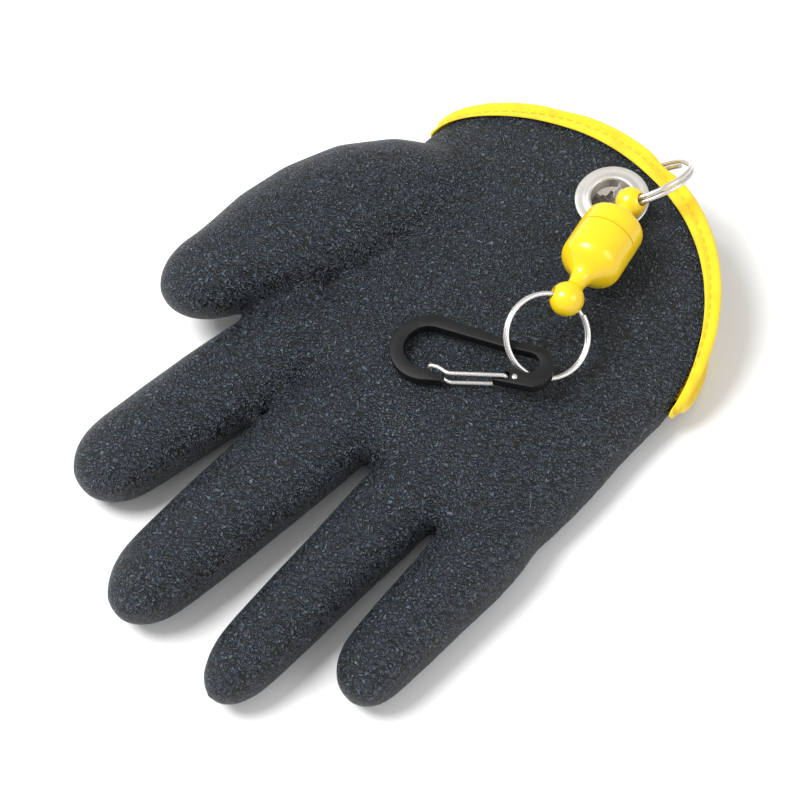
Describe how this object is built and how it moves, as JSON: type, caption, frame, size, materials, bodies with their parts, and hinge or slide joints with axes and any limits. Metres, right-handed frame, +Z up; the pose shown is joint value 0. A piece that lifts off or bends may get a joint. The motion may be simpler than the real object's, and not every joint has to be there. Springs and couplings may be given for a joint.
{
  "type": "fishing glove",
  "caption": "Right-hand coated latex fishing glove lying palm up, with a bound cuff, an eyelet, split rings, a magnetic release and a small carabiner.",
  "frame": {"origin": "the middle of the back of the hand, on the surface the glove lies on", "axes": "+Y from the cuff to the fingertips, +X towards the thumb, +Z up out of the palm"},
  "size_m": [0.1532, 0.2158, 0.0423],
  "materials": {
    "latex": "crinkled matt latex coating, dark blue-grey",
    "binding": "woven binding tape, bright yellow, with one row of stitches",
    "connector": "glossy moulded plastic, yellow",
    "nickel": "bright nickel plate",
    "steel": "bright drawn steel wire",
    "anodised": "black anodised, satin"
  },
  "bodies": {
    "glove": {"glove_shell": "latex", "cuff_binding": "binding", "grommet": "nickel", "cuff_split_ring": "steel", "magnet_upper_half": "connector", "magnet_lower_half": "connector", "clip_split_ring": "steel", "carabiner_body": "anodised"},
    "gate": {"carabiner_gate": "steel"}
  },
  "joints": [
    {"name": "carabiner_gate", "type": "hinge", "parent": "glove", "child": "gate", "pos_m": [-0.02075, -0.00999, 0.02713], "axis": [-0.0515, -0.0828, -0.9952], "range_deg": [0, 25], "stiffness_Nm_per_rad": 0.01}
  ]
}
